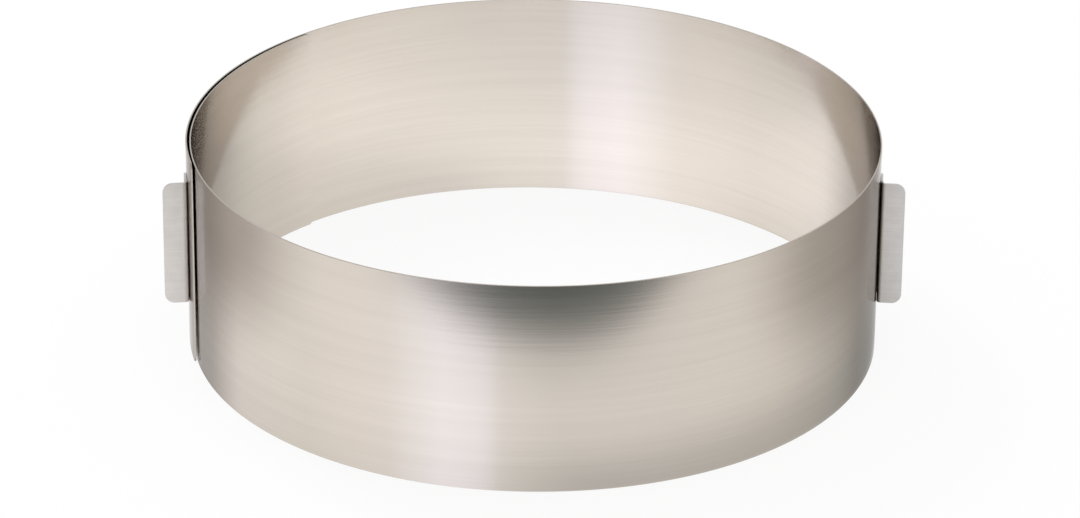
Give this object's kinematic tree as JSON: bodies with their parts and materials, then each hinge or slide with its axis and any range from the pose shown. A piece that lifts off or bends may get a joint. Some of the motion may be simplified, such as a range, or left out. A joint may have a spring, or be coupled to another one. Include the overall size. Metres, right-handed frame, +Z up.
{
  "type": "adjustable cake ring",
  "caption": "Steel strip coiled into an open ring that overlaps itself, with sheet grips on its outside for drawing it smaller or wider.",
  "frame": {"origin": "centre of the ring's bounding box on the face that it stands on", "axes": "+Z up along the ring's axis, +X towards the right grip, -Y towards the viewer of the picture"},
  "size_m": [0.287, 0.2688, 0.085],
  "materials": {
    "strip_steel": "bright rolled stainless sheet with a fine grain along the strip",
    "grip_steel": "satin stainless sheet"
  },
  "bodies": {
    "length_01": {"strip_01": "strip_steel", "left_grip": "grip_steel"},
    "length_02": {"strip_02": "strip_steel"},
    "length_03": {"strip_03": "strip_steel"},
    "length_04": {"strip_04": "strip_steel"},
    "length_05": {"strip_05": "strip_steel"},
    "length_06": {"strip_06": "strip_steel"},
    "length_07": {"strip_07": "strip_steel"},
    "length_08": {"strip_08": "strip_steel"},
    "length_09": {"strip_09": "strip_steel"},
    "length_10": {"strip_10": "strip_steel"},
    "length_11": {"strip_11": "strip_steel"},
    "length_12": {"strip_12": "strip_steel"},
    "length_13": {"strip_13": "strip_steel"},
    "length_14": {"strip_14": "strip_steel"},
    "length_15": {"strip_15": "strip_steel"},
    "length_16": {"strip_16": "strip_steel"},
    "held_length": {"strip_17": "strip_steel", "right_grip": "grip_steel"},
    "length_18": {"strip_18": "strip_steel"},
    "length_19": {"strip_19": "strip_steel"},
    "length_20": {"strip_20": "strip_steel"},
    "length_21": {"strip_21": "strip_steel"},
    "length_22": {"strip_22": "strip_steel"},
    "length_23": {"strip_23": "strip_steel"},
    "length_24": {"strip_24": "strip_steel"},
    "length_25": {"strip_25": "strip_steel"},
    "length_26": {"strip_26": "strip_steel"},
    "length_27": {"strip_27": "strip_steel"},
    "length_28": {"strip_28": "strip_steel"},
    "length_29": {"strip_29": "strip_steel"},
    "length_30": {"strip_30": "strip_steel"},
    "length_31": {"strip_31": "strip_steel"},
    "length_32": {"strip_32": "strip_steel"},
    "length_33": {"strip_33": "strip_steel"},
    "length_34": {"strip_34": "strip_steel"},
    "length_35": {"strip_35": "strip_steel"}
  },
  "joints": [
    {"name": "bend_17", "type": "hinge", "parent": "held_length", "child": "length_18", "pos_m": [0.13189, -0.02137, 0], "axis": [0, 0, -1], "range_deg": [-1.28, 8.1]},
    {"name": "bend_01", "type": "hinge", "parent": "length_02", "child": "length_01", "pos_m": [-0.13518, -0.00746, 0], "axis": [0, 0, 1], "range_deg": [-1.25, 7.89]},
    {"name": "bend_02", "type": "hinge", "parent": "length_03", "child": "length_02", "pos_m": [-0.13365, 0.02069, 0], "axis": [0, 0, 1], "range_deg": [-1.25, 7.91]},
    {"name": "bend_03", "type": "hinge", "parent": "length_04", "child": "length_03", "pos_m": [-0.12631, 0.0479, 0], "axis": [0, 0, 1], "range_deg": [-1.25, 7.92]},
    {"name": "bend_04", "type": "hinge", "parent": "length_05", "child": "length_04", "pos_m": [-0.11347, 0.07297, 0], "axis": [0, 0, 1], "range_deg": [-1.25, 7.93]},
    {"name": "bend_05", "type": "hinge", "parent": "length_06", "child": "length_05", "pos_m": [-0.09571, 0.09482, 0], "axis": [0, 0, 1], "range_deg": [-1.26, 7.94]},
    {"name": "bend_06", "type": "hinge", "parent": "length_07", "child": "length_06", "pos_m": [-0.0738, 0.1125, 0], "axis": [0, 0, 1], "range_deg": [-1.26, 7.96]},
    {"name": "bend_07", "type": "hinge", "parent": "length_08", "child": "length_07", "pos_m": [-0.04871, 0.12522, 0], "axis": [0, 0, 1], "range_deg": [-1.26, 7.97]},
    {"name": "bend_08", "type": "hinge", "parent": "length_09", "child": "length_08", "pos_m": [-0.02153, 0.13245, 0], "axis": [0, 0, 1], "range_deg": [-1.26, 7.98]},
    {"name": "bend_09", "type": "hinge", "parent": "length_10", "child": "length_09", "pos_m": [0.00655, 0.13387, 0], "axis": [0, 0, 1], "range_deg": [-1.26, 8]},
    {"name": "bend_10", "type": "hinge", "parent": "length_11", "child": "length_10", "pos_m": [0.0343, 0.12942, 0], "axis": [0, 0, 1], "range_deg": [-1.27, 8.01]},
    {"name": "bend_11", "type": "hinge", "parent": "length_12", "child": "length_11", "pos_m": [0.06051, 0.1193, 0], "axis": [0, 0, 1], "range_deg": [-1.27, 8.02]},
    {"name": "bend_12", "type": "hinge", "parent": "length_13", "child": "length_12", "pos_m": [0.08403, 0.10397, 0], "axis": [0, 0, 1], "range_deg": [-1.27, 8.04]},
    {"name": "bend_13", "type": "hinge", "parent": "length_14", "child": "length_13", "pos_m": [0.10384, 0.08408, 0], "axis": [0, 0, 1], "range_deg": [-1.27, 8.05]},
    {"name": "bend_14", "type": "hinge", "parent": "length_15", "child": "length_14", "pos_m": [0.11908, 0.06052, 0], "axis": [0, 0, 1], "range_deg": [-1.27, 8.06]},
    {"name": "bend_15", "type": "hinge", "parent": "length_16", "child": "length_15", "pos_m": [0.12908, 0.03432, 0], "axis": [0, 0, 1], "range_deg": [-1.28, 8.07]},
    {"name": "bend_16", "type": "hinge", "parent": "held_length", "child": "length_16", "pos_m": [0.13341, 0.00662, 0], "axis": [0, 0, 1], "range_deg": [-1.28, 8.09]},
    {"name": "bend_18", "type": "hinge", "parent": "length_18", "child": "length_19", "pos_m": [0.12459, -0.04841, 0], "axis": [0, 0, -1], "range_deg": [-1.28, 8.11]},
    {"name": "bend_19", "type": "hinge", "parent": "length_19", "child": "length_20", "pos_m": [0.11183, -0.07334, 0], "axis": [0, 0, -1], "range_deg": [-1.28, 8.13]},
    {"name": "bend_20", "type": "hinge", "parent": "length_20", "child": "length_21", "pos_m": [0.09417, -0.09506, 0], "axis": [0, 0, -1], "range_deg": [-1.29, 8.14]},
    {"name": "bend_21", "type": "hinge", "parent": "length_21", "child": "length_22", "pos_m": [0.07239, -0.11263, 0], "axis": [0, 0, -1], "range_deg": [-1.29, 8.15]},
    {"name": "bend_22", "type": "hinge", "parent": "length_22", "child": "length_23", "pos_m": [0.04745, -0.12528, 0], "axis": [0, 0, -1], "range_deg": [-1.29, 8.16]},
    {"name": "bend_23", "type": "hinge", "parent": "length_23", "child": "length_24", "pos_m": [0.02043, -0.13246, 0], "axis": [0, 0, -1], "range_deg": [-1.29, 8.18]},
    {"name": "bend_24", "type": "hinge", "parent": "length_24", "child": "length_25", "pos_m": [-0.00748, -0.13387, 0], "axis": [0, 0, -1], "range_deg": [-1.29, 8.19]},
    {"name": "bend_25", "type": "hinge", "parent": "length_25", "child": "length_26", "pos_m": [-0.03506, -0.12945, 0], "axis": [0, 0, -1], "range_deg": [-1.3, 8.2]},
    {"name": "bend_26", "type": "hinge", "parent": "length_26", "child": "length_27", "pos_m": [-0.06112, -0.11939, 0], "axis": [0, 0, -1], "range_deg": [-1.3, 8.22]},
    {"name": "bend_27", "type": "hinge", "parent": "length_27", "child": "length_28", "pos_m": [-0.0845, -0.10414, 0], "axis": [0, 0, -1], "range_deg": [-1.3, 8.23]},
    {"name": "bend_28", "type": "hinge", "parent": "length_28", "child": "length_29", "pos_m": [-0.10419, -0.08438, 0], "axis": [0, 0, -1], "range_deg": [-1.3, 8.24]},
    {"name": "bend_29", "type": "hinge", "parent": "length_29", "child": "length_30", "pos_m": [-0.11933, -0.06096, 0], "axis": [0, 0, -1], "range_deg": [-1.3, 8.26]},
    {"name": "bend_30", "type": "hinge", "parent": "length_30", "child": "length_31", "pos_m": [-0.12928, -0.03491, 0], "axis": [0, 0, -1], "range_deg": [-1.31, 8.27]},
    {"name": "bend_31", "type": "hinge", "parent": "length_31", "child": "length_32", "pos_m": [-0.13358, -0.00738, 0], "axis": [0, 0, -1], "range_deg": [-1.31, 8.28]},
    {"name": "bend_32", "type": "hinge", "parent": "length_32", "child": "length_33", "pos_m": [-0.13207, 0.02044, 0], "axis": [0, 0, -1], "range_deg": [-1.31, 8.29]},
    {"name": "bend_33", "type": "hinge", "parent": "length_33", "child": "length_34", "pos_m": [-0.12481, 0.04733, 0], "axis": [0, 0, -1], "range_deg": [-1.31, 8.31]},
    {"name": "bend_34", "type": "hinge", "parent": "length_34", "child": "length_35", "pos_m": [-0.11213, 0.0721, 0], "axis": [0, 0, -1], "range_deg": [-1.31, 8.32]}
  ],
  "couplings": [
    {"joint": "bend_01", "follows": "bend_17", "ratio": 0.9744},
    {"joint": "bend_02", "follows": "bend_17", "ratio": 0.976},
    {"joint": "bend_03", "follows": "bend_17", "ratio": 0.9776},
    {"joint": "bend_04", "follows": "bend_17", "ratio": 0.9792},
    {"joint": "bend_05", "follows": "bend_17", "ratio": 0.9808},
    {"joint": "bend_06", "follows": "bend_17", "ratio": 0.9824},
    {"joint": "bend_07", "follows": "bend_17", "ratio": 0.984},
    {"joint": "bend_08", "follows": "bend_17", "ratio": 0.9856},
    {"joint": "bend_09", "follows": "bend_17", "ratio": 0.9872},
    {"joint": "bend_10", "follows": "bend_17", "ratio": 0.9888},
    {"joint": "bend_11", "follows": "bend_17", "ratio": 0.9904},
    {"joint": "bend_12", "follows": "bend_17", "ratio": 0.992},
    {"joint": "bend_13", "follows": "bend_17", "ratio": 0.9936},
    {"joint": "bend_14", "follows": "bend_17", "ratio": 0.9952},
    {"joint": "bend_15", "follows": "bend_17", "ratio": 0.9968},
    {"joint": "bend_16", "follows": "bend_17", "ratio": 0.9984},
    {"joint": "bend_18", "follows": "bend_17", "ratio": 1.0016},
    {"joint": "bend_19", "follows": "bend_17", "ratio": 1.0032},
    {"joint": "bend_20", "follows": "bend_17", "ratio": 1.0048},
    {"joint": "bend_21", "follows": "bend_17", "ratio": 1.0064},
    {"joint": "bend_22", "follows": "bend_17", "ratio": 1.008},
    {"joint": "bend_23", "follows": "bend_17", "ratio": 1.0096},
    {"joint": "bend_24", "follows": "bend_17", "ratio": 1.0112},
    {"joint": "bend_25", "follows": "bend_17", "ratio": 1.0128},
    {"joint": "bend_26", "follows": "bend_17", "ratio": 1.0144},
    {"joint": "bend_27", "follows": "bend_17", "ratio": 1.016},
    {"joint": "bend_28", "follows": "bend_17", "ratio": 1.0176},
    {"joint": "bend_29", "follows": "bend_17", "ratio": 1.0192},
    {"joint": "bend_30", "follows": "bend_17", "ratio": 1.0208},
    {"joint": "bend_31", "follows": "bend_17", "ratio": 1.0224},
    {"joint": "bend_32", "follows": "bend_17", "ratio": 1.024},
    {"joint": "bend_33", "follows": "bend_17", "ratio": 1.0256},
    {"joint": "bend_34", "follows": "bend_17", "ratio": 1.0272}
  ]
}
